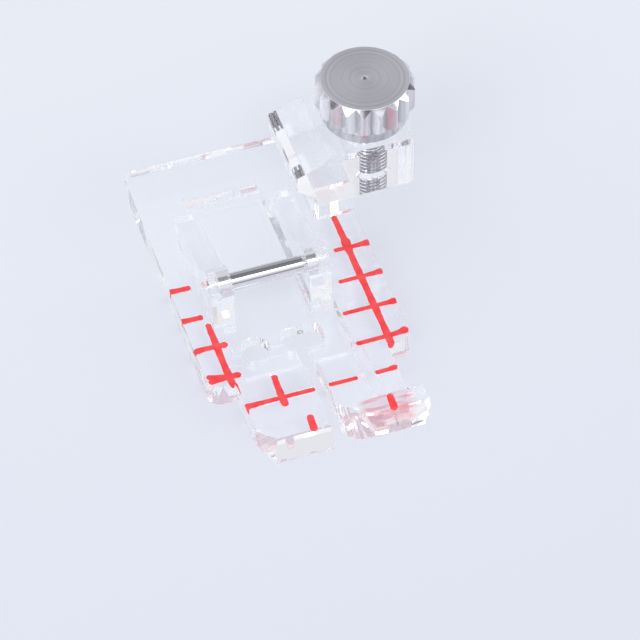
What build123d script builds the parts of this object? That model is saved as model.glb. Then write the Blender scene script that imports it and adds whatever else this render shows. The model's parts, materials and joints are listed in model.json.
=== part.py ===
from build123d import *
from math import pi, tan
import os

# Clear clip-on quilting foot with a guide clamp. Millimetres, +Z up, +Y towards the rear of the machine.
# The origin is on the sole's plane, straight below the middle of the pin.

# Sole: the plate, its two wings and the ramp under its rear edge
sole_width = 25.5
sole_thickness = 3.2
rear_reach = 25.7
wing_reach = 11.4
needle_offset = 2.0
rear_corner_radius = 1.2
wing_corner_radius = 1.6
ramp_length = 4.1
ramp_rise = 1.2

# Toes and their noses: a flat crest, a gentle slope down to a bend, and a steep face down to the lip
toe_span = 18.9
slot_width = 1.55
toe_reach = 18.65
slope_run = 1.9
face_run = 1.75
nose_lead = 3.55
bend_height = 2.7
lip_height = 0.5
lip_round = 0.4
left_bevel_crest = 2.0
left_bevel_bend = 2.1
left_bevel_lip = 1.4
left_bevel_side = 0.3
funnel_crest_width = 1.55
funnel_crest_depth = 1.8
funnel_crest_bulge = 0.6
funnel_bend_width = 1.7
funnel_bend_depth = 1.9
funnel_bend_back = 0.8
funnel_lip_width = 2.6
funnel_lip_back = 0.1
funnel_step = 1.5
funnel_bend_step = 2.15
funnel_lip_step = 1.0
flare_setback = 0.35
flare_lead = 0.1
flare_bend_width = 2.1
flare_bend_corner = 0.25
flare_width = 2.55
flare_bevel_width = 1.3
flare_bevel_length = 2.5
crest_corner = 0.1
crest_flare = 0.05

# Needle window: the thin floor round the needle holes, and the channel between the posts
floor_thickness = 1.7
window_left = 8.4
window_right = 5.7
window_reach = 9.8
window_ramp = 1.8
channel_reach = 18.3
channel_ramp = 1.2
needle_reach = 5.8
needle_hole_width = 5.2
needle_hole_length = 3.7
needle_hole_radius = 1.3
needle_hole_shift = 0.6
side_hole_diameter = 3.7
side_hole_shift = 5.35

# Groove for the flange of a seam guide, a quarter inch right of the needle
groove_shift = 5.95
groove_width = 1.3
groove_depth = 0.9
groove_setback = 0.35

# Posts, fins and the pin between them
post_gap = 9.5
post_thickness = 2.75
post_radius = 2.3
post_front = 2.6
post_back = 2.9
pin_height = 8.0
pin_diameter = 2.2
pin_inset = 1.2
pin_clearance = 0.02
pin_chamfer = 0.2
fin_reach = 13.7
fin_root_height = 9.1
fin_end_height = 6.2

# Boss that carries the thumb screw, and the pillar under it
boss_front = 9.6
boss_length = 11.6
boss_top = 14.0
boss_underside = 6.7
boss_overhang = 7.8
boss_corner_radius = 1.0
boss_edge_chamfer = 0.45
pillar_width = 5.1
pillar_setback = 0.8
pillar_round = 0.6
pillar_shoulder_height = 8.2
shoulder_width = 2.5
shoulder_low = 9.9
shoulder_high = 12.3
plateau_width = 11.1

# Thumb screw
screw_inset = 4.55
screw_reach = 16.0
shank_diameter = 3.4
shank_clearance = 0.05
shank_inset = 0.3
shank_chamfer = 0.3
bore_mouth = 0.5
clamp_gap = 0.05
collar_diameter = 10.6
collar_height = 1.9
head_diameter = 12.4
head_height = 4.1
head_chamfer = 0.8
head_taper = 0.4
knurl_count = 18
knurl_depth = 0.73
pip_diameter = 0.8
pip_depth = 0.2

# Painted marks
mark_width = 0.75
mark_depth = 0.3
mark_pitch = 5.0
mark_shift = 10.0
mark_row = 5.2
mark_wall = 0.25
left_row_gap = 0.65
right_row_step = 1.2
toe_row_gap = 0.9
left_line_start = 1.6
row_inset = 1.3
tick_shift = 5.0
tick_overrun = 1.2
tick_lead = 0.1
left_slope_tick = 2.8
right_slope_tick = 7.15
slope_tick_gap = 0.115

# Places worked out from the sizes above
left_edge = needle_offset - sole_width / 2
right_edge = needle_offset + sole_width / 2
toe_left = needle_offset - toe_span / 2
toe_right = needle_offset + toe_span / 2
slot_left = needle_offset - slot_width / 2
slot_right = needle_offset + slot_width / 2
groove_left = needle_offset + groove_shift - groove_width / 2
groove_right = needle_offset + groove_shift + groove_width / 2
window_left_edge = needle_offset - window_left
window_right_edge = needle_offset + window_right
window_crest = window_reach + window_ramp
post_inside = post_gap / 2
post_outside = post_inside + post_thickness
boss_right = right_edge + boss_overhang
pillar_left = right_edge - pillar_width
shoulder_left = pillar_left - shoulder_width
plateau_left = boss_right - plateau_width
pillar_front = boss_front + pillar_setback
screw_x = boss_right - screw_inset
collar_base = boss_top + clamp_gap
head_base = collar_base + collar_height
head_top = head_base + head_height
bend_reach = toe_reach + slope_run
nose_reach = bend_reach + face_run
nose_root = toe_reach - nose_lead
flare_start = toe_reach - flare_setback
groove_reach = toe_reach - groove_setback
slope_drop = sole_thickness - bend_height
slope_length = (slope_run**2 + slope_drop**2) ** 0.5
slope_tick_length = slope_length - slope_tick_gap


def stroke(x_from, x_to, y_from, y_to):
    with Locations(((x_from + x_to) / 2, (y_from + y_to) / 2)):
        Rectangle(abs(x_to - x_from), abs(y_to - y_from))


def row(y, x_from, x_to):
    stroke(x_from, x_to, y - mark_width / 2, y + mark_width / 2)


def column(x, y_from, y_to):
    stroke(x - mark_width / 2, x + mark_width / 2, y_from, y_to)


def slope_plane(x):
    return Plane((x, -toe_reach, sole_thickness), (1, 0, 0), (0, -slope_drop, slope_run))


def left_nose(reach, bevel, side_reach):
    with BuildLine() as outline:
        Polyline(
            (slot_left, -nose_root),
            (slot_left, -reach),
            (toe_left + bevel, -reach),
            (toe_left, -side_reach),
            (toe_left, -nose_root),
            close=True,
        )
    make_face(outline.edges())


def right_nose(funnel, flare):
    funnel_start, funnel_width, funnel_reach, step = funnel
    reach, corner, width, side_reach = flare
    with BuildLine() as outline:
        side = Line((slot_right, -nose_root), (slot_right, -funnel_start))
        turn = TangentArc(side @ 1, (slot_right + funnel_width, -funnel_reach), tangent=side % 1)
        Polyline(
            turn @ 1,
            (slot_right + funnel_width + step, -reach),
            (toe_right + corner, -reach),
            (toe_right + width, -side_reach),
            (toe_right + width, -flare_start - flare_lead),
            (toe_right, -flare_start),
            (toe_right, -nose_root),
            (slot_right, -nose_root),
        )
    make_face(outline.edges())


# Outline of the plate with its wings
with BuildSketch() as plate_outline:
    with Locations((needle_offset, (rear_reach - wing_reach) / 2)):
        Rectangle(sole_width, rear_reach + wing_reach)
    fillet(vertices().group_by(Axis.Y)[-1], rear_corner_radius)
    fillet(vertices().group_by(Axis.Y)[0], wing_corner_radius)

# The paint that fills the engraved marks
left_line = needle_offset - mark_shift
right_line = needle_offset + mark_shift
toe_row = -mark_row - 2 * mark_pitch
with BuildPart() as red_marks:
    with BuildSketch(Plane.XY.offset(sole_thickness)):
        column(left_line, -wing_reach, -left_line_start)
        column(right_line, -wing_reach, pillar_front)
        for step in (2, 1, 0, -1):
            y = -mark_row + mark_pitch * step
            left_end = -post_outside - left_row_gap if step > 0 else left_line + row_inset
            row(y, left_edge, left_end)
            row(y, window_right_edge + mark_wall + right_row_step * max(step, 0), right_edge)
        add(plate_outline.sketch, mode=Mode.INTERSECT)
    extrude(amount=-mark_depth)
    with BuildSketch(Plane.XY.offset(sole_thickness)):
        row(toe_row, toe_left, slot_left)
        row(toe_row, slot_right, groove_left - toe_row_gap)
        row(toe_row, groove_right, toe_right)
        column(needle_offset - tick_shift, toe_row - tick_overrun, -window_crest - tick_lead)
    extrude(amount=-mark_depth)
    for x in (needle_offset - left_slope_tick, needle_offset + right_slope_tick):
        with BuildSketch(slope_plane(x)):
            column(0, -slope_tick_length, 0)
        extrude(amount=-mark_depth)

# The clear moulding
with BuildPart() as foot_body:
    # Wings and rear plate
    extrude(plate_outline.sketch, amount=sole_thickness)

    # Toes back to the plate
    with BuildSketch():
        stroke(toe_left, toe_right, -nose_root, -wing_reach + wing_corner_radius)
    extrude(amount=sole_thickness)

    # Left nose, bevelled on its outer corner
    with BuildSketch(Plane.XY.offset(lip_height)) as left_lip:
        left_nose(nose_reach, left_bevel_lip, toe_reach + left_bevel_side)
    with BuildSketch(Plane.XY.offset(bend_height)):
        left_nose(bend_reach, left_bevel_bend, toe_reach)
    with BuildSketch(Plane.XY.offset(sole_thickness)):
        left_nose(toe_reach, left_bevel_crest, toe_reach - left_bevel_side)
    loft(ruled=True)
    extrude(left_lip.sketch, amount=-lip_height)

    # Right nose, rounded into a funnel at the slot and flared at its outer side
    funnel_lip_reach = nose_reach - funnel_lip_back
    with BuildSketch(Plane.XY.offset(lip_height)) as right_lip:
        right_nose(
            (funnel_lip_reach - funnel_lip_width, funnel_lip_width, funnel_lip_reach, funnel_lip_step),
            (nose_reach, flare_width - flare_bevel_width, flare_width, nose_reach - flare_bevel_length),
        )
    funnel_bend_reach = bend_reach - funnel_bend_back
    with BuildSketch(Plane.XY.offset(bend_height)):
        right_nose(
            (funnel_bend_reach - funnel_bend_depth, funnel_bend_width, funnel_bend_reach, funnel_bend_step),
            (bend_reach, flare_bend_width - flare_bend_corner, flare_bend_width, bend_reach - flare_bend_corner),
        )
    funnel_crest_reach = toe_reach + funnel_crest_bulge
    with BuildSketch(Plane.XY.offset(sole_thickness)):
        right_nose(
            (funnel_crest_reach - funnel_crest_depth, funnel_crest_width, funnel_crest_reach, funnel_step),
            (toe_reach, -crest_corner, crest_flare, toe_reach - crest_corner),
        )
    loft(ruled=True)
    extrude(right_lip.sketch, amount=-lip_height)

    # Window and channel sunk into the top, each with sloped ends
    with BuildSketch(Plane.YZ.offset(-post_inside)):
        with BuildLine():
            Polyline(
                (-window_reach, floor_thickness),
                (channel_reach, floor_thickness),
                (channel_reach + channel_ramp, sole_thickness),
                (-window_crest, sole_thickness),
                close=True,
            )
        make_face()
    extrude(amount=post_gap, mode=Mode.SUBTRACT)
    with BuildSketch(Plane.YZ.offset(window_left_edge)):
        with BuildLine():
            Polyline(
                (-window_reach, floor_thickness),
                (-post_front, floor_thickness),
                (-post_front, sole_thickness),
                (-window_crest, sole_thickness),
                close=True,
            )
        make_face()
    extrude(amount=window_right_edge - window_left_edge, mode=Mode.SUBTRACT)

    # Posts with their fins
    for start in (-post_outside, post_inside):
        with BuildSketch(Plane.YZ.offset(start)):
            with BuildLine():
                CenterArc((0, pin_height), post_radius, 0, 360)
                Line((-post_front, 0), (post_back, 0))
            make_hull()
            with BuildLine():
                Polyline((0, 0), (fin_reach, 0), (fin_reach, fin_end_height), (0, fin_root_height), close=True)
            make_face()
        extrude(amount=post_thickness)

    # Pillar, shoulder and boss in one profile
    with BuildSketch(Plane.XZ.offset(-boss_front - boss_length)):
        with BuildLine():
            Polyline(
                (pillar_left, 0),
                (pillar_left, pillar_shoulder_height),
                (shoulder_left, shoulder_low),
                (shoulder_left, shoulder_high),
                (plateau_left, boss_top),
                (boss_right, boss_top),
                (boss_right, boss_underside),
                (right_edge, boss_underside),
                (right_edge, 0),
                close=True,
            )
        make_face()
    extrude(amount=boss_length)
    boss_corners = edges().filter_by(Axis.Z).group_by(Axis.X)[-1]
    fillet(boss_corners, boss_corner_radius)
    plateau_front = edges().filter_by(Axis.X).group_by(Axis.Z)[-1].sort_by(Axis.Y)[0]
    chamfer(plateau_front, boss_edge_chamfer)

    # Pillar set back under the front of the boss
    with BuildSketch(Plane.XY.offset(sole_thickness)):
        stroke(pillar_left, right_edge, boss_front, pillar_front)
    extrude(amount=boss_underside - sole_thickness, mode=Mode.SUBTRACT)
    pillar_corner = edges().filter_by(Axis.Z).sort_by_distance((pillar_left, pillar_front, sole_thickness))[0]
    fillet(pillar_corner, pillar_round)

    # Ramp under the rear edge
    with BuildSketch(Plane.YZ.offset(left_edge)):
        with BuildLine():
            Polyline((rear_reach - ramp_length, 0), (rear_reach, ramp_rise), (rear_reach, 0), close=True)
        make_face()
    extrude(amount=sole_width, mode=Mode.SUBTRACT)

    # Needle holes, slot and guide groove
    with BuildSketch():
        with Locations((needle_offset + needle_hole_shift, -needle_reach)):
            RectangleRounded(needle_hole_width, needle_hole_length, needle_hole_radius)
        with Locations((needle_offset - side_hole_shift, -needle_reach)):
            Circle(side_hole_diameter / 2)
        stroke(slot_left, slot_right, -nose_reach, -needle_reach)
    extrude(amount=sole_thickness, mode=Mode.SUBTRACT)
    with BuildSketch(Plane.XY.offset(sole_thickness)):
        stroke(groove_left, groove_right, -groove_reach, -window_reach)
    extrude(amount=-groove_depth, mode=Mode.SUBTRACT)

    # Bores for the pin and the screw
    with BuildSketch(Plane.YZ.offset(-post_outside)):
        with Locations((0, pin_height)):
            Circle(pin_diameter / 2 + pin_clearance)
    extrude(amount=2 * post_outside, mode=Mode.SUBTRACT)
    with BuildSketch(Plane.XY.offset(boss_top)):
        with Locations((screw_x, screw_reach)):
            Circle(shank_diameter / 2 + shank_clearance)
    extrude(amount=boss_underside - boss_top, mode=Mode.SUBTRACT)
    bore_edge = edges().filter_by(GeomType.CIRCLE).sort_by_distance((screw_x, screw_reach, boss_underside))[0]
    chamfer(bore_edge, bore_mouth)

    # Rounded lower edges of the lips, so that cloth slides under
    lip_edges = edges().group_by(Axis.Z)[0].filter_by(lambda edge: edge.center().Y < -toe_reach - slope_run / 2)
    fillet(lip_edges, lip_round)

    # Engraving for the marks
    add(red_marks.part, mode=Mode.SUBTRACT)

# Cross pin for the machine's ankle
pin_half_length = post_outside - pin_inset
with BuildPart() as snap_pin:
    with BuildSketch(Plane.YZ.offset(-pin_half_length)):
        with Locations((0, pin_height)):
            Circle(pin_diameter / 2)
    extrude(amount=2 * pin_half_length)
    chamfer(edges().filter_by(GeomType.CIRCLE), pin_chamfer)

# Thumb screw, turned and then knurled
head_radius = head_diameter / 2
with BuildPart() as thumb_screw:
    with BuildSketch(Plane.XZ.offset(-screw_reach)):
        with BuildLine():
            Polyline(
                (screw_x, boss_underside + shank_inset),
                (screw_x + shank_diameter / 2 - shank_chamfer, boss_underside + shank_inset),
                (screw_x + shank_diameter / 2, boss_underside + shank_inset + shank_chamfer),
                (screw_x + shank_diameter / 2, collar_base),
                (screw_x + collar_diameter / 2, collar_base),
                (screw_x + collar_diameter / 2, head_base),
                (screw_x + head_radius - head_taper, head_base),
                (screw_x + head_radius, head_base + head_taper),
                (screw_x + head_radius, head_top - head_chamfer),
                (screw_x + head_radius - head_chamfer, head_top),
                (screw_x + pip_diameter / 2, head_top),
                (screw_x, head_top - pip_depth),
                close=True,
            )
        make_face()
    revolve(axis=Axis((screw_x, screw_reach, 0), (0, 0, 1)))
    knurl_half = head_radius * tan(pi / knurl_count)
    with BuildSketch(Plane((screw_x, screw_reach, head_base))):
        with PolarLocations(head_radius - knurl_depth, knurl_count):
            Polygon((0, 0), (knurl_depth, -knurl_half), (knurl_depth, knurl_half), align=None)
    extrude(amount=head_height, mode=Mode.SUBTRACT)

os.makedirs("parts", exist_ok=True)
foot_body.part.label = "foot_body"
snap_pin.part.label = "snap_pin"
thumb_screw.part.label = "thumb_screw"
red_marks.part.label = "red_marks"
export_step(foot_body.part, "parts/foot_body.step")
export_step(snap_pin.part, "parts/snap_pin.step")
export_step(thumb_screw.part, "parts/thumb_screw.step")
export_step(red_marks.part, "parts/red_marks.step")
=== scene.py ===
import bpy, bmesh, json, math
from mathutils import Matrix, Vector, noise


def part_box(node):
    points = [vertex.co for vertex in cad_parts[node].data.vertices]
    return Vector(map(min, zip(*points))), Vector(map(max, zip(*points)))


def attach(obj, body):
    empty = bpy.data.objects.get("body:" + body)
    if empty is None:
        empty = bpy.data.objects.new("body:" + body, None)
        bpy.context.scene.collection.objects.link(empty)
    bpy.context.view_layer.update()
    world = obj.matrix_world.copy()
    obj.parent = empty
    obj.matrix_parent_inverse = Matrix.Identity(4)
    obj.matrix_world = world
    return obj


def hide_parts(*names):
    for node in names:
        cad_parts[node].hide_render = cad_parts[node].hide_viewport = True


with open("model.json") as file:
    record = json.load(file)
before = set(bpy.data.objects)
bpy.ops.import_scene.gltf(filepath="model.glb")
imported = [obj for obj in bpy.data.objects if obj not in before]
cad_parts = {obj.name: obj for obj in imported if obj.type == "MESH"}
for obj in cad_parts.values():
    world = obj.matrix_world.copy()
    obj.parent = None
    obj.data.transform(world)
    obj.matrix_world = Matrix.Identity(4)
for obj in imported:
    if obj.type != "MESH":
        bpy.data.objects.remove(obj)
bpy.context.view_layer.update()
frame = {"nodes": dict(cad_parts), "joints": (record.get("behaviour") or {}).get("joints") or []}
mm = 0.001
scene = bpy.context.scene
nodes = frame["nodes"]
screwLow, screwTop = (corner[2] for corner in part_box("thumb_screw"))
screwJoint = next(joint for joint in frame["joints"] if joint["child"] == "thumb_screw")
screwAxis = Vector((screwJoint["pos_m"][0], screwJoint["pos_m"][1], 0))
print("frame loaded", sorted(nodes))


# node helpers

def newMaterial(name):
    material = bpy.data.materials.new(name)
    material.use_nodes = True
    tree = material.node_tree
    return material, tree, tree.nodes["Principled BSDF"]


def addNode(tree, kind, **settings):
    node = tree.nodes.new(kind)
    for key, value in settings.items():
        setattr(node, key, value)
    return node


def setInputs(node, **values):
    for key, value in values.items():
        node.inputs[key.replace("_", " ")].default_value = value
    return node


def objectPlace(tree):
    return addNode(tree, "ShaderNodeTexCoord").outputs["Object"]


def splitPlace(tree):
    split = addNode(tree, "ShaderNodeSeparateXYZ")
    tree.links.new(objectPlace(tree), split.inputs[0])
    return split.outputs


def noiseField(tree, scale, detail=3.0, stretch=(1, 1, 1)):
    mapping = setInputs(addNode(tree, "ShaderNodeMapping"), Scale=stretch)
    field = setInputs(addNode(tree, "ShaderNodeTexNoise"), Scale=scale, Detail=detail)
    tree.links.new(objectPlace(tree), mapping.inputs["Vector"])
    tree.links.new(mapping.outputs["Vector"], field.inputs["Vector"])
    return field.outputs["Fac"]


def mapRange(tree, source, low, high, start=0.3, end=0.7):
    node = addNode(tree, "ShaderNodeMapRange")
    for socket, value in zip(node.inputs[1:5], (start, end, low, high)):
        socket.default_value = value
    tree.links.new(source, node.inputs[0])
    return node.outputs[0]


def combine(tree, operation, first, second):
    node = addNode(tree, "ShaderNodeMath", operation=operation)
    tree.links.new(first, node.inputs[0])
    tree.links.new(second, node.inputs[1])
    return node.outputs[0]


def scaleColour(tree, colour, factor):
    node = addNode(tree, "ShaderNodeVectorMath", operation="SCALE")
    tree.links.new(colour, node.inputs[0])
    tree.links.new(factor, node.inputs["Scale"])
    return node.outputs[0]


def blend(tree, factor, first, second):
    node = addNode(tree, "ShaderNodeMix", data_type="RGBA")
    node.inputs["A"].default_value = first
    node.inputs["B"].default_value = second
    tree.links.new(factor, node.inputs["Factor"])
    return node.outputs["Result"]


def bumpFrom(tree, shader, source, strength, height):
    bump = setInputs(addNode(tree, "ShaderNodeBump"), Strength=strength, Distance=height * mm)
    tree.links.new(source, bump.inputs["Height"])
    tree.links.new(bump.outputs["Normal"], shader.inputs["Normal"])


# clear plastic, with a painted reflection of the red marks: pink streaks along X over the right nose

plasticLook = {"index": 1.49, "haze": 420.0, "rough": (0.0, 0.045), "ripple": 260.0, "bump": (0.12, 0.04)}
edgeLook = {"tint": (0.99, 0.99, 1.0, 1), "through": 0.45, "wear": 900.0, "rough": (0.25, 0.5)}
paintedPinkReflection = {
    "clear": (0.993, 0.996, 1.0, 1), "reflectedPink": (1.0, 0.19, 0.25, 1), "least": 0.3,
    "scale": 1900.0, "stretch": (0.12, 1, 1), "contrast": (0.42, 0.6),
    # sides: for each axis, where the painted pink reflection fades out (clear) and where it is full
    # (stained)
    "sides": [("X", 5.0, 6.0), ("X", 12.4, 11.4), ("Y", -18.55, -18.8), ("Z", 0.8, 3.0)],  # clear, stained
}


# painted reflection: a pink tint in streaks along X, standing in for the red marks reflected inside the
# right nose
def paintedReflectionPatch(tree):
    place = splitPlace(tree)
    streak = noiseField(tree, paintedPinkReflection["scale"], 2.0, paintedPinkReflection["stretch"])
    patch = mapRange(tree, streak, paintedPinkReflection["least"], 1.0, *paintedPinkReflection["contrast"])
    for axis, outside, inside in paintedPinkReflection["sides"]:
        fade = mapRange(tree, place[axis], 0, 1, outside * mm, inside * mm)
        patch = combine(tree, "MULTIPLY", patch, fade)
    return blend(tree, patch, paintedPinkReflection["clear"], paintedPinkReflection["reflectedPink"])


def clearPlastic():
    material, tree, shader = newMaterial("clearPlastic")
    setInputs(shader, IOR=plasticLook["index"], Transmission_Weight=1.0)
    tree.links.new(paintedReflectionPatch(tree), shader.inputs["Base Color"])
    haze = noiseField(tree, plasticLook["haze"])
    tree.links.new(mapRange(tree, haze, *plasticLook["rough"]), shader.inputs["Roughness"])
    bumpFrom(tree, shader, noiseField(tree, plasticLook["ripple"], 1.0), *plasticLook["bump"])
    return material


def clearEdge():
    material, tree, shader = newMaterial("clearEdge")
    setInputs(shader, Base_Color=edgeLook["tint"], IOR=plasticLook["index"])
    setInputs(shader, Transmission_Weight=edgeLook["through"])
    wear = noiseField(tree, edgeLook["wear"])
    tree.links.new(mapRange(tree, wear, *edgeLook["rough"]), shader.inputs["Roughness"])
    return material


# red paint, full on top, and a paler copy: on the faint speck it is thin paint, and on the walls and floor
# of the marks, seen through the plastic, it is painted light washing the paint

paintLook = {
    "rough": 0.28, "gloss": 0.45, "streak": 900.0, "contrast": (0.3, 0.75),
    "grain": 2400.0, "bump": (0.25, 0.03),
}
paintTones = {
    "redPaint": [(0.90, 0.036, 0.046, 1), (0.97, 0.11, 0.12, 1)],
    "redPaintFaintAndLit": [(0.96, 0.74, 0.77, 1), (0.98, 0.86, 0.88, 1)],
}


def redPaint(name):
    material, tree, shader = newMaterial(name)
    setInputs(shader, Roughness=paintLook["rough"], Specular_IOR_Level=paintLook["gloss"])
    streak = mapRange(tree, noiseField(tree, paintLook["streak"], 4.0), 0, 1, *paintLook["contrast"])
    tree.links.new(blend(tree, streak, *paintTones[name]), shader.inputs["Base Color"])
    bumpFrom(tree, shader, noiseField(tree, paintLook["grain"]), *paintLook["bump"])
    return material


# steel: drawn pin, bare shank darkened further with painted shade, plated and turned head

drawnLook = {
    "tint": (0.83, 0.83, 0.85, 1), "scale": 900.0, "stretch": (0.04, 1, 1),
    "rough": (0.05, 0.14), "bump": (0.05, 0.02),
}
bareShadedLook = {
    "dark": (0.26, 0.25, 0.28, 1), "pale": (0.46, 0.45, 0.49, 1), "scale": 800.0, "rough": (0.2, 0.34),
}
platedLook = {
    "scuff": 700.0, "polish": (0.13, 0.23), "topRough": 0.42, "topSkin": (0.06, 0.04),
    "brushed": 0.6, "brushTurn": 0.25,
    "rings": 3000.0, "ringBump": (0.6, 0.01), "ringTones": [(0.80, 0.78, 0.82, 1), (0.94, 0.93, 0.97, 1)],
    "wipe": 1100.0, "wipeStretch": (1, 1, 0.05), "wipeContrast": (0.38, 0.62),
    "wipeTones": [(0.68, 0.66, 0.69, 1), (0.93, 0.92, 0.94, 1)],
    "grooveShade": (0.74, 1.0), "grooveShadeReach": (5.5, 6.05),
}


def drawnSteel():
    material, tree, shader = newMaterial("chromePin")
    setInputs(shader, Base_Color=drawnLook["tint"], Metallic=1.0)
    draw = noiseField(tree, drawnLook["scale"], 2.0, drawnLook["stretch"])
    tree.links.new(mapRange(tree, draw, *drawnLook["rough"]), shader.inputs["Roughness"])
    bumpFrom(tree, shader, draw, *drawnLook["bump"])
    return material


# shank and thread: bare steel, its tone darkened further as painted shade for the shank lying in the shadow
# inside the boss
def bareShadedSteel():
    material, tree, shader = newMaterial("shadedShankSteel")
    setInputs(shader, Metallic=1.0)
    oil = noiseField(tree, bareShadedLook["scale"])
    tree.links.new(blend(tree, oil, bareShadedLook["dark"], bareShadedLook["pale"]), shader.inputs["Base Color"])
    tree.links.new(mapRange(tree, oil, *bareShadedLook["rough"]), shader.inputs["Roughness"])
    return material


def axisReach(tree):  # distance from the screw's axis
    offset = addNode(tree, "ShaderNodeVectorMath", operation="SUBTRACT")
    offset.inputs[1].default_value = screwAxis
    flat = addNode(tree, "ShaderNodeVectorMath", operation="MULTIPLY")
    flat.inputs[1].default_value = (1, 1, 0)
    reach = addNode(tree, "ShaderNodeVectorMath", operation="LENGTH")
    tree.links.new(objectPlace(tree), offset.inputs[0])
    tree.links.new(offset.outputs[0], flat.inputs[0])
    tree.links.new(flat.outputs[0], reach.inputs[0])
    return reach.outputs["Value"]


def platedSteel():
    material, tree, shader = newMaterial("platedSteel")
    setInputs(shader, Metallic=1.0, Anisotropic=platedLook["brushed"])
    setInputs(shader, Anisotropic_Rotation=platedLook["brushTurn"])
    reach = axisReach(tree)
    skin = [screwTop - depth * mm for depth in platedLook["topSkin"]]
    onTop = mapRange(tree, splitPlace(tree)["Z"], 0, 1, *skin)
    # turned rings: noise read along the distance from the axis
    rings = addNode(tree, "ShaderNodeTexNoise", noise_dimensions="1D")
    setInputs(rings, Scale=platedLook["rings"], Detail=3.0)
    tree.links.new(reach, rings.inputs["W"])
    ringHeight = combine(tree, "MULTIPLY", rings.outputs["Fac"], onTop)
    bumpFrom(tree, shader, ringHeight, *platedLook["ringBump"])
    turned = blend(tree, mapRange(tree, rings.outputs["Fac"], 0, 1), *platedLook["ringTones"])
    groove = addNode(tree, "ShaderNodeTangent", direction_type="RADIAL", axis="Z")
    tree.links.new(groove.outputs["Tangent"], shader.inputs["Tangent"])
    polish = mapRange(tree, noiseField(tree, platedLook["scuff"], 4.0), *platedLook["polish"])
    rough = setInputs(addNode(tree, "ShaderNodeMix"), B=platedLook["topRough"])
    tree.links.new(onTop, rough.inputs["Factor"])
    tree.links.new(polish, rough.inputs["A"])
    tree.links.new(rough.outputs["Result"], shader.inputs["Roughness"])
    # upright streaks on the knurl, with painted shade darkening it down in its grooves
    wipe = noiseField(tree, platedLook["wipe"], 2.0, platedLook["wipeStretch"])
    side = blend(tree, mapRange(tree, wipe, 0, 1, *platedLook["wipeContrast"]), *platedLook["wipeTones"])
    # painted shade: the side colour is scaled darker towards the bottoms of the knurl's grooves
    crest = mapRange(tree, reach, *platedLook["grooveShade"], *(edge * mm for edge in platedLook["grooveShadeReach"]))
    finish = addNode(tree, "ShaderNodeMix", data_type="RGBA")
    tree.links.new(onTop, finish.inputs["Factor"])
    tree.links.new(scaleColour(tree, side, crest), finish.inputs["A"])
    tree.links.new(turned, finish.inputs["B"])
    tree.links.new(finish.outputs["Result"], shader.inputs["Base Color"])
    return material


plastic = clearPlastic()
rubbedEdge = clearEdge()
paint = redPaint("redPaint")
paintFaintAndLit = redPaint("redPaintFaintAndLit")
pinSteel = drawnSteel()
shadedShankSteel = bareShadedSteel()
plating = platedSteel()
print("materials made")


# mesh helpers

def smoothFaces(bm, degrees):
    for face in bm.faces:
        face.smooth = True
    for edge in bm.edges:
        edge.smooth = not edge.is_manifold or edge.calc_face_angle(0) < math.radians(degrees)


def meshObject(name, bm, material=None, smoothAngle=35):
    bmesh.ops.recalc_face_normals(bm, faces=bm.faces[:])
    smoothFaces(bm, smoothAngle)
    mesh = bpy.data.meshes.new(name)
    bm.to_mesh(mesh)
    bm.free()
    obj = bpy.data.objects.new(name, mesh)
    scene.collection.objects.link(obj)
    if material:
        mesh.materials.append(material)
    return obj


def smoothByAngle(obj, degrees):
    bm = bmesh.new()
    bm.from_mesh(obj.data)
    smoothFaces(bm, degrees)
    bm.to_mesh(obj.data)
    bm.free()


def bakeDown(obj):
    graph = bpy.context.evaluated_depsgraph_get()
    mesh = bpy.data.meshes.new_from_object(obj.evaluated_get(graph))
    obj.modifiers.clear()
    obj.data = mesh
    return obj


def softenEdges(obj, width, angle, edgeSlot=-1):
    bevel = obj.modifiers.new("soft edge", "BEVEL")
    bevel.width = width * mm
    bevel.segments = 2
    bevel.limit_method = "ANGLE"
    bevel.angle_limit = math.radians(angle)
    bevel.harden_normals = True
    bevel.material = edgeSlot
    return bakeDown(obj)


# clear moulding: the CAD body welded, with its moulded edges softened

bodyLook = {"weld": 0.001, "flat": 0.4, "edge": 0.08, "sharp": 11.5}


def clearBody():
    bm = bmesh.new()
    bm.from_mesh(nodes["foot_body"].data)
    bmesh.ops.remove_doubles(bm, verts=bm.verts[:], dist=bodyLook["weld"] * mm)
    flat = math.radians(bodyLook["flat"])
    bmesh.ops.dissolve_limit(bm, angle_limit=flat, verts=bm.verts[:], edges=bm.edges[:])
    obj = meshObject("clearBody", bm, plastic, bodyLook["sharp"])
    obj.data.materials.append(rubbedEdge)
    return softenEdges(obj, bodyLook["edge"], bodyLook["sharp"], 1)


body = clearBody()
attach(body, "foot")
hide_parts("foot_body")
body.visible_shadow = False
body.visible_diffuse = False  # light on the sheet passes through clear plastic
print("clear body", len(body.data.polygons))


# pin: drawn steel, pressed tight into the posts so that it shows through them

pinLook = {"grip": 0.026, "chamfer": 0.2, "sides": 72, "sharp": 60}


def drawnPin():
    low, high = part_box("snap_pin")
    radius = (high[2] - low[2]) / 2 + pinLook["grip"] * mm
    turn = Matrix.Translation((Vector(low) + Vector(high)) / 2) @ Matrix.Rotation(math.pi / 2, 4, "Y")
    bm = bmesh.new()
    bmesh.ops.create_cone(bm, cap_ends=True, segments=pinLook["sides"], radius1=radius, radius2=radius,
                          depth=high[0] - low[0], matrix=turn)
    return softenEdges(meshObject("drawnPin", bm, pinSteel), pinLook["chamfer"], pinLook["sharp"])


pin = drawnPin()
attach(pin, "foot")
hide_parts("snap_pin")
print("pin", len(pin.data.polygons))


# geometry node helpers

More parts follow.
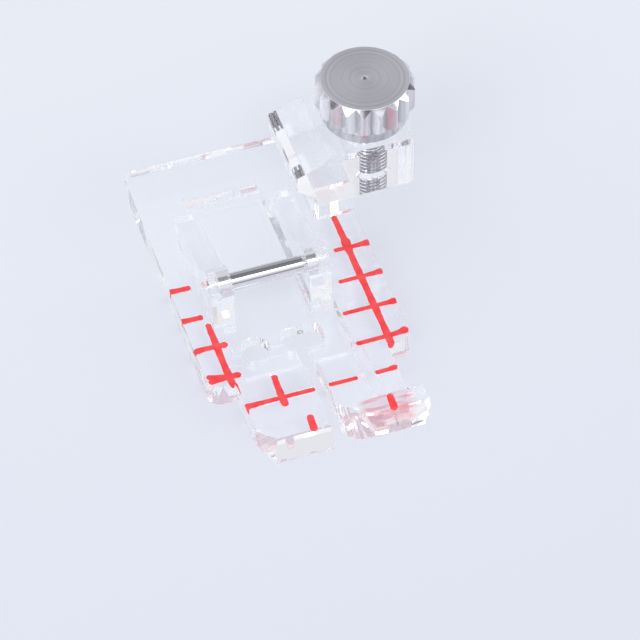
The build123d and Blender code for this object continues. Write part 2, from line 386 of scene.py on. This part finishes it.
def nodeGroup(name, **sockets):
    tree = bpy.data.node_groups.new(name, "GeometryNodeTree")
    tree.interface.new_socket("Geometry", in_out="INPUT", socket_type="NodeSocketGeometry")
    for label, kind in sockets.items():
        tree.interface.new_socket(label, in_out="INPUT", socket_type="NodeSocket" + kind)
    tree.interface.new_socket("Geometry", in_out="OUTPUT", socket_type="NodeSocketGeometry")
    return tree, tree.nodes.new("NodeGroupInput"), tree.nodes.new("NodeGroupOutput")


def endGroup(tree, made, realized, material):
    finish = tree.nodes.new("GeometryNodeSetMaterial")
    tree.links.new(realized, finish.inputs["Geometry"])
    tree.links.new(material, finish.inputs["Material"])
    tree.links.new(finish.outputs["Geometry"], made.inputs["Geometry"])


def applyGroup(obj, tree, **values):
    modifier = obj.modifiers.new(tree.name, "NODES")
    modifier.node_group = tree
    for item in tree.interface.items_tree:
        if item.in_out == "INPUT" and item.name in values:
            modifier[item.identifier] = values[item.name]
    return bakeDown(obj)


# thumb screw head: one flute, repeated round the axis by nodes

knurl = {
    "count": 18, "base": 15.95, "radius": 6.2, "foot": 5.8, "face": 5.4, "valley": 5.47, "flat": 9.07,
    "stations": (0.5, 1.5, 3, 5, 7), "ring": 3.2, "pip": 0.4, "pipDeep": 0.2,
    "smooth": 15, "soften": 0.05, "sharp": 18, "pole": 0.0001, "seam": 0.001,
}


def knurlReach(angle):
    slope = knurl["radius"] * math.cos(math.radians(knurl["flat"])) - knurl["valley"]
    slope /= knurl["radius"] * math.sin(math.radians(knurl["flat"]))
    reach = knurl["valley"] / (math.cos(angle) - slope * abs(math.sin(angle)))
    return min(reach, knurl["radius"])


def headColumn(angle):
    top = screwTop / mm
    reach = knurlReach(angle)
    low = min(reach, knurl["foot"])
    side = [(0, knurl["base"]), (low, knurl["base"]), (reach, knurl["base"] + reach - low)]
    side += [(reach, top - (reach - knurl["face"])), (knurl["face"], top)]
    side += [(knurl["ring"], top), (knurl["pip"], top), (0, top - knurl["pipDeep"])]
    return [(r * math.cos(angle) * mm, r * math.sin(angle) * mm, z * mm) for r, z in side]


def headSector():
    bm = bmesh.new()
    oneSide = [*knurl["stations"], knurl["flat"], 180.0 / knurl["count"]]
    steps = [-degrees for degrees in reversed(oneSide)] + [0] + oneSide
    grid = [[bm.verts.new(point) for point in headColumn(math.radians(degrees))] for degrees in steps]
    for left, right in zip(grid, grid[1:]):
        for a, b, c, d in zip(left, right, right[1:], left[1:]):
            bm.faces.new((a, b, c, d))
    bmesh.ops.remove_doubles(bm, verts=bm.verts[:], dist=knurl["pole"] * mm)
    return meshObject("knurledHead", bm)


def knurlGroup():
    tree, given, made = nodeGroup("knurl round", Count="Int", Axis="Vector", Finish="Material")
    line = tree.nodes.new("GeometryNodeMeshLine")
    line.inputs["Offset"].default_value = (0, 0, 0)
    index = tree.nodes.new("GeometryNodeInputIndex")
    step = addNode(tree, "ShaderNodeMath", operation="DIVIDE")
    step.inputs[0].default_value = math.tau
    turn = addNode(tree, "ShaderNodeMath", operation="MULTIPLY")
    spin = tree.nodes.new("ShaderNodeCombineXYZ")
    copies = tree.nodes.new("GeometryNodeInstanceOnPoints")
    real = tree.nodes.new("GeometryNodeRealizeInstances")
    weld = tree.nodes.new("GeometryNodeMergeByDistance")
    weld.inputs["Distance"].default_value = knurl["seam"] * mm
    move = tree.nodes.new("GeometryNodeTransform")
    tree.links.new(given.outputs["Count"], line.inputs["Count"])
    tree.links.new(given.outputs["Count"], step.inputs[1])
    tree.links.new(index.outputs[0], turn.inputs[0])
    tree.links.new(step.outputs[0], turn.inputs[1])
    tree.links.new(turn.outputs[0], spin.inputs["Z"])
    tree.links.new(line.outputs["Mesh"], copies.inputs["Points"])
    tree.links.new(given.outputs["Geometry"], copies.inputs["Instance"])
    tree.links.new(spin.outputs[0], copies.inputs["Rotation"])
    tree.links.new(copies.outputs[0], real.inputs["Geometry"])
    tree.links.new(real.outputs["Geometry"], weld.inputs["Geometry"])
    tree.links.new(weld.outputs["Geometry"], move.inputs["Geometry"])
    tree.links.new(given.outputs["Axis"], move.inputs["Translation"])
    endGroup(tree, made, move.outputs["Geometry"], given.outputs["Finish"])
    return tree


def knurledHead():
    obj = applyGroup(headSector(), knurlGroup(), Count=knurl["count"], Axis=screwAxis, Finish=plating)
    smoothByAngle(obj, knurl["smooth"])
    return softenEdges(obj, knurl["soften"], knurl["sharp"])


# collar and shank: turned outlines, with crests that bite into the boss so that the steel shows

flange = {
    "base": 14.05, "radius": 5.3, "ease": 0.12, "neckAt": 15.6, "neckIn": 0.08, "lap": 0.05, "sides": 96,
}
shank = {
    "core": 1.46, "tip": 0.25, "lead": 0.35, "pitch": 0.6, "bites": 7, "tight": 1.765, "groove": 1.62,
    "land": 0.4, "flank": 0.08, "root": 0.04, "lap": 0.1, "sides": 48,
}
helix = {"crest": 0.23, "proud": 0.005, "clear": 0.05, "steps": 36, "corners": 4}
biteTop = screwLow / mm + shank["lead"] + shank["bites"] * shank["pitch"]


def turnedPiece(name, outline, material, sides):
    bm = bmesh.new()
    rings = []
    for reach, height in outline:
        ring = []
        for k in range(sides):
            angle = math.tau * k / sides
            x = screwAxis.x + reach * mm * math.cos(angle)
            ring.append(bm.verts.new((x, screwAxis.y + reach * mm * math.sin(angle), height * mm)))
        rings.append(ring)
    for low, high in zip(rings, rings[1:]):
        for k in range(sides):
            bm.faces.new((low[k], low[k - 1], high[k - 1], high[k]))
    bm.faces.new(rings[0])
    bm.faces.new(rings[-1])
    return meshObject(name, bm, material)


def screwCollar():
    radius, neck = flange["radius"], flange["radius"] - flange["neckIn"]
    outline = [(radius - flange["ease"], flange["base"]), (radius, flange["base"] + flange["ease"])]
    outline += [(radius, flange["neckAt"]), (neck, flange["neckAt"] + flange["neckIn"])]
    outline += [(neck, knurl["base"] + flange["lap"])]
    return turnedPiece("screwCollar", outline, plating, flange["sides"])


def screwShank():
    low = screwLow / mm
    outline = [(shank["core"] - shank["tip"], low), (shank["core"], low + shank["tip"])]
    for turn in range(shank["bites"]):
        foot = low + shank["lead"] + turn * shank["pitch"]
        edge = foot + shank["land"]
        root = edge + shank["flank"]
        outline += [(shank["tight"], foot), (shank["tight"], edge)]
        outline += [(shank["groove"], root), (shank["groove"], root + shank["root"])]
    outline += [(shank["core"], biteTop), (shank["core"], flange["base"] + shank["lap"])]
    return turnedPiece("screwShank", outline, shadedShankSteel, shank["sides"])


# thread: a ridge swept up a spiral by nodes, above the crests

def threadGroup():
    sockets = {"Radius": "Float", "Length": "Float", "Turns": "Float", "Crest": "Float"}
    tree, given, made = nodeGroup("thread", **sockets, Start="Vector", Finish="Material")
    spiral = tree.nodes.new("GeometryNodeCurveSpiral")
    spiral.inputs["Resolution"].default_value = helix["steps"]
    upright = addNode(tree, "GeometryNodeSetCurveNormal", mode="Z_UP")
    ridge = tree.nodes.new("GeometryNodeCurvePrimitiveCircle")
    ridge.inputs["Resolution"].default_value = helix["corners"]
    sweep = tree.nodes.new("GeometryNodeCurveToMesh")
    sweep.inputs["Fill Caps"].default_value = True
    real = tree.nodes.new("GeometryNodeRealizeInstances")
    move = tree.nodes.new("GeometryNodeTransform")
    feeds = {"Start Radius": "Radius", "End Radius": "Radius", "Height": "Length", "Rotations": "Turns"}
    for target, source in feeds.items():
        tree.links.new(given.outputs[source], spiral.inputs[target])
    tree.links.new(given.outputs["Crest"], ridge.inputs["Radius"])
    tree.links.new(spiral.outputs["Curve"], upright.inputs["Curve"])
    tree.links.new(upright.outputs["Curve"], sweep.inputs["Curve"])
    tree.links.new(ridge.outputs["Curve"], sweep.inputs["Profile Curve"])
    tree.links.new(sweep.outputs["Mesh"], move.inputs["Geometry"])
    tree.links.new(given.outputs["Start"], move.inputs["Translation"])
    tree.links.new(move.outputs["Geometry"], real.inputs["Geometry"])
    endGroup(tree, made, real.outputs["Geometry"], given.outputs["Finish"])
    return tree


def screwThread():
    end = helix["crest"] + helix["clear"]
    length = flange["base"] - biteTop - 2 * end
    obj = bpy.data.objects.new("screwThread", bpy.data.meshes.new("screwThread"))
    scene.collection.objects.link(obj)
    return applyGroup(obj, threadGroup(), Radius=(shank["core"] + helix["proud"]) * mm, Length=length * mm,
                      Turns=length / shank["pitch"], Crest=helix["crest"] * mm,
                      Start=screwAxis + Vector((0, 0, (biteTop + end) * mm)), Finish=shadedShankSteel)


head = knurledHead()
collar = screwCollar()
core = screwShank()
thread = screwThread()
for piece in (head, collar, core, thread):
    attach(piece, "thumb_screw")
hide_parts("thumb_screw")
print("thumb screw", [len(piece.data.polygons) for piece in (head, collar, core, thread)])


# red paint: brush strokes laid in the marks, with runs where they meet an edge

brush = {
    "step": 0.12, "across": 8, "spread": 0.81, "deep": 0.318, "thin": 0.03, "apart": 0.002, "upright": 0.85,
    "crown": 0.035, "lip": 0.006, "pool": 0.5, "poolRate": 1.1, "poolSeed": 7.3,
    "wobble": 0.10, "wobbleRate": 1.9, "wobbleSeed": 3.1, "rows": (5, 9),
    "round": 0.8, "roundPower": 2.6, "tip": 0.22, "smooth": 50,
}
faint = {"toeSpeck"}
faceWays = {
    "up": (0, 0, 1), "left": (-1, 0, 0), "right": (1, 0, 0), "front": (0, -1, 0),
    "upLeft": (-0.7, 0, 0.7), "upRight": (0.7, 0, 0.7), "upFront": (0, -0.7, 0.7),
    "slope": (0, -0.2545, 0.9671), "bend": (0, -0.548, 0.836), "steep": (0, -0.7826, 0.6226),
}
top, lid = 3.2, 3.185
left, right, front, toeLeft, toeRight = -10.76, 14.76, -11.41, -7.46, 11.46
# each stroke: points of x, y, z, width and the face that the paint lies on
strokes = {
    "leftRow1": [
        (-8.2, 4.76, top, 0.96, "up"), (-9.6, 4.8, top, 0.95, "up"), (-10.5, 4.84, top, 1.05, "up"),
        (left, 4.86, lid, 1.0, "upLeft"), (left, 4.86, 2.7, 0.6, "left"), (left, 4.9, 2.0, 0.3, "left"),
    ],
    "leftRow2": [
        (-8.15, -0.22, top, 0.96, "up"), (-9.6, -0.2, top, 0.95, "up"), (-10.5, -0.16, top, 1.1, "up"),
        (left, -0.12, lid, 1.0, "upLeft"), (left, -0.08, 2.7, 0.55, "left"),
        (left, -0.04, 2.15, 0.3, "left"),
    ],
    "leftRow3": [
        (-6.6, -5.28, top, 0.8, "up"), (-7.0, -5.25, top, 1.2, "up"), (-8.0, -5.2, top, 0.96, "up"),
        (-9.5, -5.12, top, 0.98, "up"), (-10.4, -5.2, top, 1.15, "up"), (left, -5.35, lid, 1.1, "upLeft"),
        (left, -5.55, 2.85, 0.6, "left"),
    ],
    "leftRow4": [
        (-6.5, -10.2, top, 0.8, "up"), (-6.9, -10.2, top, 1.15, "up"), (-8.0, -10.2, top, 0.98, "up"),
        (-9.4, -10.22, top, 1.0, "up"), (-10.3, -10.28, top, 1.05, "up"), (-10.56, -10.3, top, 0.9, "up"),
    ],
    "leftRow4Again": [
        (-7.9, -9.95, top, 0.5, "up"), (-9.3, -9.72, top, 0.72, "up"), (-10.3, -9.5, top, 0.9, "up"),
        (-10.62, -9.45, top, 0.75, "up"),
    ],
    "leftLine": [
        (-7.97, -1.42, top, 0.85, "up"), (-7.97, -3.0, top, 0.98, "up"), (-7.98, -5.2, top, 1.15, "up"),
        (-8.0, -7.5, top, 0.98, "up"), (-7.98, -10.2, top, 1.15, "up"), (-7.93, -11.2, top, 1.05, "up"),
        (-7.9, front, lid, 0.95, "upFront"), (-7.88, front, 2.5, 0.4, "front"),
    ],
    "leftRun": [
        (-7.75, -11.2, top, 0.5, "up"), (-7.5, -11.6, lid, 0.42, "upLeft"),
        (toeLeft, -12.3, lid, 0.24, "upLeft"), (toeLeft, -13.2, lid, 0.12, "upLeft"),
    ],
    "rightLine": [
        (12.0, 10.36, top, 0.9, "up"), (12.0, 8.0, top, 0.98, "up"), (12.02, 6.6, top, 1.0, "up"),
        (12.06, 5.8, top, 1.5, "up"), (12.02, 4.9, top, 1.4, "up"), (12.0, 3.6, top, 1.0, "up"),
        (12.0, -0.2, top, 1.15, "up"), (12.0, -2.5, top, 0.98, "up"), (12.0, -5.2, top, 1.15, "up"),
        (12.0, -8.0, top, 0.98, "up"), (11.98, -10.2, top, 1.2, "up"), (11.96, -11.25, top, 1.1, "up"),
        (11.95, front, lid, 1.05, "upFront"), (11.95, front, 2.3, 0.85, "front"),
    ],
    "rightRow1": [
        (10.2, 4.84, top, 0.80, "up"), (12.5, 4.8, top, 0.82, "up"), (13.7, 4.8, top, 0.95, "up"),
        (14.5, 4.83, top, 1.3, "up"), (right, 4.83, lid, 1.2, "upRight"), (right, 4.7, 2.6, 0.4, "right"),
    ],
    "rightRow2": [
        (9.1, -0.22, top, 0.76, "up"), (12.5, -0.2, top, 0.78, "up"), (13.7, -0.18, top, 0.92, "up"),
        (14.5, -0.14, top, 1.2, "up"), (right, -0.15, lid, 1.1, "upRight"),
        (right, -0.3, 2.7, 0.4, "right"),
    ],
    "rightRow3": [
        (7.95, -5.2, top, 0.76, "up"), (12.5, -5.2, top, 0.78, "up"), (13.7, -5.2, top, 0.92, "up"),
        (14.5, -5.2, top, 1.25, "up"), (right, -5.22, lid, 1.15, "upRight"),
        (right, -5.35, 2.6, 0.4, "right"),
    ],
    "rightRow4": [
        (7.95, -10.2, top, 0.80, "up"), (11.5, -10.2, top, 0.82, "up"), (13.4, -10.12, top, 1.0, "up"),
        (14.2, -9.95, top, 1.35, "up"), (14.55, -9.9, top, 1.3, "up"), (14.66, -9.9, lid, 1.1, "upRight"),
    ],
    "toeRowLeft": [
        (1.1, -15.22, top, 0.76, "up"), (-2.0, -15.2, top, 0.77, "up"), (-4.8, -15.2, top, 0.82, "up"),
        (-6.7, -15.2, top, 1.02, "up"), (-7.3, -15.22, top, 1.2, "up"),
        (toeLeft, -15.3, lid, 0.9, "upLeft"), (toeLeft, -15.45, 2.75, 0.4, "left"),
    ],
    "toeRun": [
        (-7.3, -15.4, top, 0.55, "up"), (-7.42, -15.8, lid, 0.4, "upLeft"),
        (toeLeft, -16.4, lid, 0.16, "upLeft"),
    ],
    "toeRowMid": [
        (6.45, -15.18, top, 0.70, "up"), (5.0, -15.2, top, 0.71, "up"), (3.2, -15.16, top, 0.76, "up"),
        (2.82, -15.15, top, 0.76, "up"),
    ],
    "toeSpeck": [
        (6.75, -15.0, top, 0.6, "up"), (7.1, -14.95, top, 0.8, "up"), (7.4, -14.9, top, 0.6, "up"),
    ],
    "toeRowRight": [
        (8.64, -15.18, top, 0.77, "up"), (10.2, -15.15, top, 0.80, "up"), (11.1, -15.08, top, 0.98, "up"),
        (toeRight - 0.06, -15.05, top, 0.95, "up"), (toeRight, -15.1, lid, 0.9, "upRight"),
    ],
    "toeTick": [
        (-2.9, -11.62, top, 0.95, "up"), (-2.98, -13.0, top, 0.95, "up"), (-3.0, -15.2, top, 1.15, "up"),
        (-2.98, -16.1, top, 1.2, "up"), (-2.97, -16.62, top, 1.0, "up"),
    ],
}
# ticks down the noses: x of each, then distance along the slope with width, then points over the bend
noseTicks = {
    "across": {"slopeTickLeft": -0.8, "slopeTickRight": 9.15}, "start": -18.65,
    "run": [(0.04, 1.02), (0.9, 1.06), (1.5, 1.16), (1.86, 1.13)],
    "end": [(-20.56, 2.7, 1.08, "bend"), (-20.74, 2.47, 0.8, "steep")],
}
fall, lead = faceWays["slope"][1:]
for name, x in noseTicks["across"].items():
    strokes[name] = []
    for t, width in noseTicks["run"]:
        strokes[name].append((x, noseTicks["start"] - lead * t, top + fall * t, width, "slope"))
    strokes[name] += [(x, *point) for point in noseTicks["end"]]


def resample(points):
    places = [Vector(point[:3]) for point in points]
    ways = [Vector(faceWays[point[4]]).normalized() for point in points]
    fine = []
    for i in range(len(points) - 1):
        count = max(2, round((places[i + 1] - places[i]).length / brush["step"]))
        for k in range(count + (i == len(points) - 2)):
            t = k / count
            ease = t * t * (3 - 2 * t)
            place = places[i].lerp(places[i + 1], t)
            width = points[i][3] + (points[i + 1][3] - points[i][3]) * ease
            fine.append((place, width, ways[i].lerp(ways[i + 1], t).normalized()))
    return fine


def wobbled(reach, along, seed, row):
    spot = Vector((along * brush["wobbleRate"], seed * brush["wobbleSeed"], row))
    return reach * (1 + brush["wobble"] * noise.noise(spot))


def addStroke(bm, points, seed, pale):
    fine = resample(points)
    along = [0.0]
    for (a, _, _), (b, _, _) in zip(fine, fine[1:]):
        along.append(along[-1] + (b - a).length)
    rings = []
    for i, (place, width, way) in enumerate(fine):
        ahead = fine[min(i + 1, len(fine) - 1)][0] - fine[max(i - 1, 0)][0]
        across = way.cross(ahead.normalized()).normalized()
        reach = brush["spread"] * width / 2
        rounding = max(0.0, 1 - min(along[i], along[-1] - along[i]) / (reach * brush["round"]))
        reach *= max(brush["tip"], math.sqrt(1 - rounding ** brush["roundPower"]))
        pool = noise.noise(Vector((along[i] * brush["poolRate"], seed * brush["poolSeed"], 0)))
        crown = brush["crown"] * (1 + brush["pool"] * pool)
        leftReach, rightReach = (wobbled(reach, along[i], seed, row) for row in brush["rows"])
        deep = brush["thin"]
        if way.z > brush["upright"]:
            deep = brush["deep"] + brush["apart"] * seed  # crossing floors lie apart
        ring = []
        for k in range(brush["across"] + 1):
            u = 2 * k / brush["across"] - 1
            rise = crown * math.sqrt(max(0.0, 1 - u * u)) + brush["lip"]
            ring.append(place + across * (u * (leftReach if u < 0 else rightReach)) + way * rise)
        ring.append(place + across * rightReach - way * deep)
        ring.append(place - across * leftReach - way * deep)
        rings.append([bm.verts.new(point * mm) for point in ring])
    for low, high in zip(rings, rings[1:]):
        for k in range(len(low)):
            face = bm.faces.new((low[k], low[k - 1], high[k - 1], high[k]))
            # walls and floor of the mark take the paler paint, painted light for how they look through the
            # plastic
            face.material_index = int(pale or k > brush["across"] or k == 0)  # walls and floor of the mark
    for ring in (rings[0], rings[-1]):
        bm.faces.new(ring).material_index = 1


def paintStrokes():
    bm = bmesh.new()
    for seed, (name, points) in enumerate(strokes.items()):
        addStroke(bm, points, seed, name in faint)
    obj = meshObject("paintStrokes", bm, paint, brush["smooth"])
    obj.data.materials.append(paintFaintAndLit)
    return obj


marks = paintStrokes()
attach(marks, "foot")
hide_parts("red_marks")
print("paint", len(strokes), len(marks.data.polygons))


# stage: a pale sheet with painted light: painted shade darker towards the camera, a little lighter away
# from it, and a painted lift where it is seen through the plastic

stage = {
    "near": (0.72, 0.75, 0.85, 1), "far": (0.81, 0.842, 0.92, 1), "through": 1.06,
    "rough": 0.3, "gloss": 0.25, "paintedFalloff": 0.05, "cloud": 9.0, "cloudy": 0.06,
    "size": 6.0, "gap": 0.00002,
}


def sheetPaper():
    material, tree, shader = newMaterial("paleSheet")
    setInputs(shader, Roughness=stage["rough"], Specular_IOR_Level=stage["gloss"])
    # painted shade: the sheet's colour runs darker towards the camera and lighter away from it
    depth = mapRange(tree, splitPlace(tree)["Y"], 0, 1, -stage["paintedFalloff"], stage["paintedFalloff"])
    cloud = mapRange(tree, noiseField(tree, stage["cloud"], 1.0), -stage["cloudy"], stage["cloudy"])
    tone = blend(tree, combine(tree, "ADD", depth, cloud), stage["near"], stage["far"])
    # painted light: seen through the plastic, the sheet is made lighter, standing in for light carried
    # through it
    through = addNode(tree, "ShaderNodeLightPath").outputs["Is Transmission Ray"]
    paintedLift = mapRange(tree, through, 1.0, stage["through"], 0, 1)
    tree.links.new(scaleColour(tree, tone, paintedLift), shader.inputs["Base Color"])
    return material


def floorSheet():
    bm = bmesh.new()
    half = stage["size"] / 2
    corners = ((-half, -half), (half, -half), (half, half), (-half, half))
    bm.faces.new([bm.verts.new((x, y, -stage["gap"])) for x, y in corners])
    obj = meshObject("floorSheet", bm, sheetPaper())


floorSheet()

# surroundings: pale tent with dark gaps, as chrome mirrors them and as clear plastic shows them
gaps = [
    {"way": (0.20, 0.14, 0.97), "inner": 22, "outer": 29, "mirrored": 0.27, "through": 0.36},
    {"way": (0.20, 0.80, 0.565), "inner": 24, "outer": 34, "mirrored": 0.5, "through": 0.86},
    {"way": (0.20, -0.94, 0.28), "inner": 6, "outer": 13, "mirrored": 0.42, "through": 1.0},
    {"way": (-0.14, -0.75, 0.65), "inner": 7, "outer": 12, "mirrored": 0.15, "through": 1.0},
    {"way": (-0.884, 0.062, 0.461), "inner": 6, "outer": 11, "mirrored": 0.15, "through": 1.0},
    {"way": (0.976, 0.165, 0.137), "inner": 6, "outer": 11, "mirrored": 0.15, "through": 1.0},
]
tent = {"ambient": 0.82, "seen": [
    {"ray": "Is Glossy Ray", "tone": (0.85, 0.87, 0.94, 1), "gaps": "mirrored"},
    {"ray": "Is Transmission Ray", "tone": (0.93, 0.94, 0.98, 1), "gaps": "through"},
    {"ray": "Is Camera Ray", "tone": (0.775, 0.80, 0.90, 1), "gaps": None},
]}


def gapShade(tree, kind):
    shade = None
    for gap in gaps:
        if gap[kind] == 1.0:
            continue
        facing = addNode(tree, "ShaderNodeVectorMath", operation="DOT_PRODUCT")
        facing.inputs[1].default_value = Vector(gap["way"]).normalized()
        tree.links.new(addNode(tree, "ShaderNodeTexCoord").outputs["Generated"], facing.inputs[0])
        outer, inner = (math.cos(math.radians(gap[edge])) for edge in ("outer", "inner"))
        spot = mapRange(tree, facing.outputs["Value"], 1.0, gap[kind], outer, inner)
        shade = spot if shade is None else combine(tree, "MULTIPLY", shade, spot)
    return shade


def surroundings():
    world = bpy.data.worlds.new("tent")
    scene.world = world
    world.use_nodes = True
    tree = world.node_tree
    ambient = setInputs(tree.nodes["Background"], Color=(1, 1, 1, 1), Strength=tent["ambient"])
    path = addNode(tree, "ShaderNodeLightPath")
    surface = ambient.outputs[0]
    for look in tent["seen"]:
        seen = setInputs(addNode(tree, "ShaderNodeBackground"), Color=look["tone"])
        if look["gaps"]:
            tree.links.new(gapShade(tree, look["gaps"]), seen.inputs["Strength"])
        mix = addNode(tree, "ShaderNodeMixShader")
        tree.links.new(path.outputs[look["ray"]], mix.inputs["Fac"])
        tree.links.new(surface, mix.inputs[1])
        tree.links.new(seen.outputs[0], mix.inputs[2])
        surface = mix.outputs[0]
    tree.links.new(surface, tree.nodes["World Output"].inputs["Surface"])


surroundings()

lamps = {
    "leftBox": {"way": (-0.62, -0.48, 0.62), "reach": 0.6, "size": 0.34, "power": 0.6},
    "rightBox": {"way": (0.88, -0.29, 0.37), "reach": 0.6, "size": 0.28, "power": 0.4},
    "topBox": {"way": (0.20, -0.45, 0.87), "reach": 0.7, "size": 0.24, "power": 0.5},
}


def lampBoxes():
    for name, spec in lamps.items():
        light = bpy.data.lights.new(name, "AREA")
        light.shape = "SQUARE"
        light.size = spec["size"]
        light.energy = spec["power"]
        obj = bpy.data.objects.new(name, light)
        way = Vector(spec["way"]).normalized()
        obj.location = way * spec["reach"]
        obj.rotation_euler = way.to_track_quat("Z", "Y").to_euler()
        scene.collection.objects.link(obj)


lampBoxes()

# camera, as the photo was taken
shot = {
    "round": -18.139, "above": 49.435, "roll": -0.5, "reach": 389.563, "aim": (5.847, -2.774, 0.2),
    "lens": 180.0, "sensor": 36.0, "near": 0.01,
}


def photoCamera():
    turn, rise, roll = (math.radians(shot[key]) for key in ("round", "above", "roll"))
    back = Vector((math.sin(turn) * math.cos(rise), -math.cos(turn) * math.cos(rise), math.sin(rise)))
    level = Vector((math.cos(turn), math.sin(turn), 0))
    up = back.cross(level)
    across = level * math.cos(roll) + up * math.sin(roll)
    upward = up * math.cos(roll) - level * math.sin(roll)
    data = bpy.data.cameras.new("photoCamera")
    data.lens = shot["lens"]
    data.sensor_width = shot["sensor"]
    data.clip_start = shot["near"]
    obj = bpy.data.objects.new("photoCamera", data)
    place = (Vector(shot["aim"]) + back * shot["reach"]) * mm
    obj.matrix_world = Matrix.Translation(place) @ Matrix((across, upward, back)).transposed().to_4x4()
    scene.collection.objects.link(obj)
    scene.camera = obj


photoCamera()
scene.view_settings.view_transform = "Standard"
bounces = 64  # clear plastic pipes light a long way
scene.cycles.max_bounces = bounces
scene.cycles.glossy_bounces = bounces
scene.cycles.transmission_bounces = bounces
print("stage set")
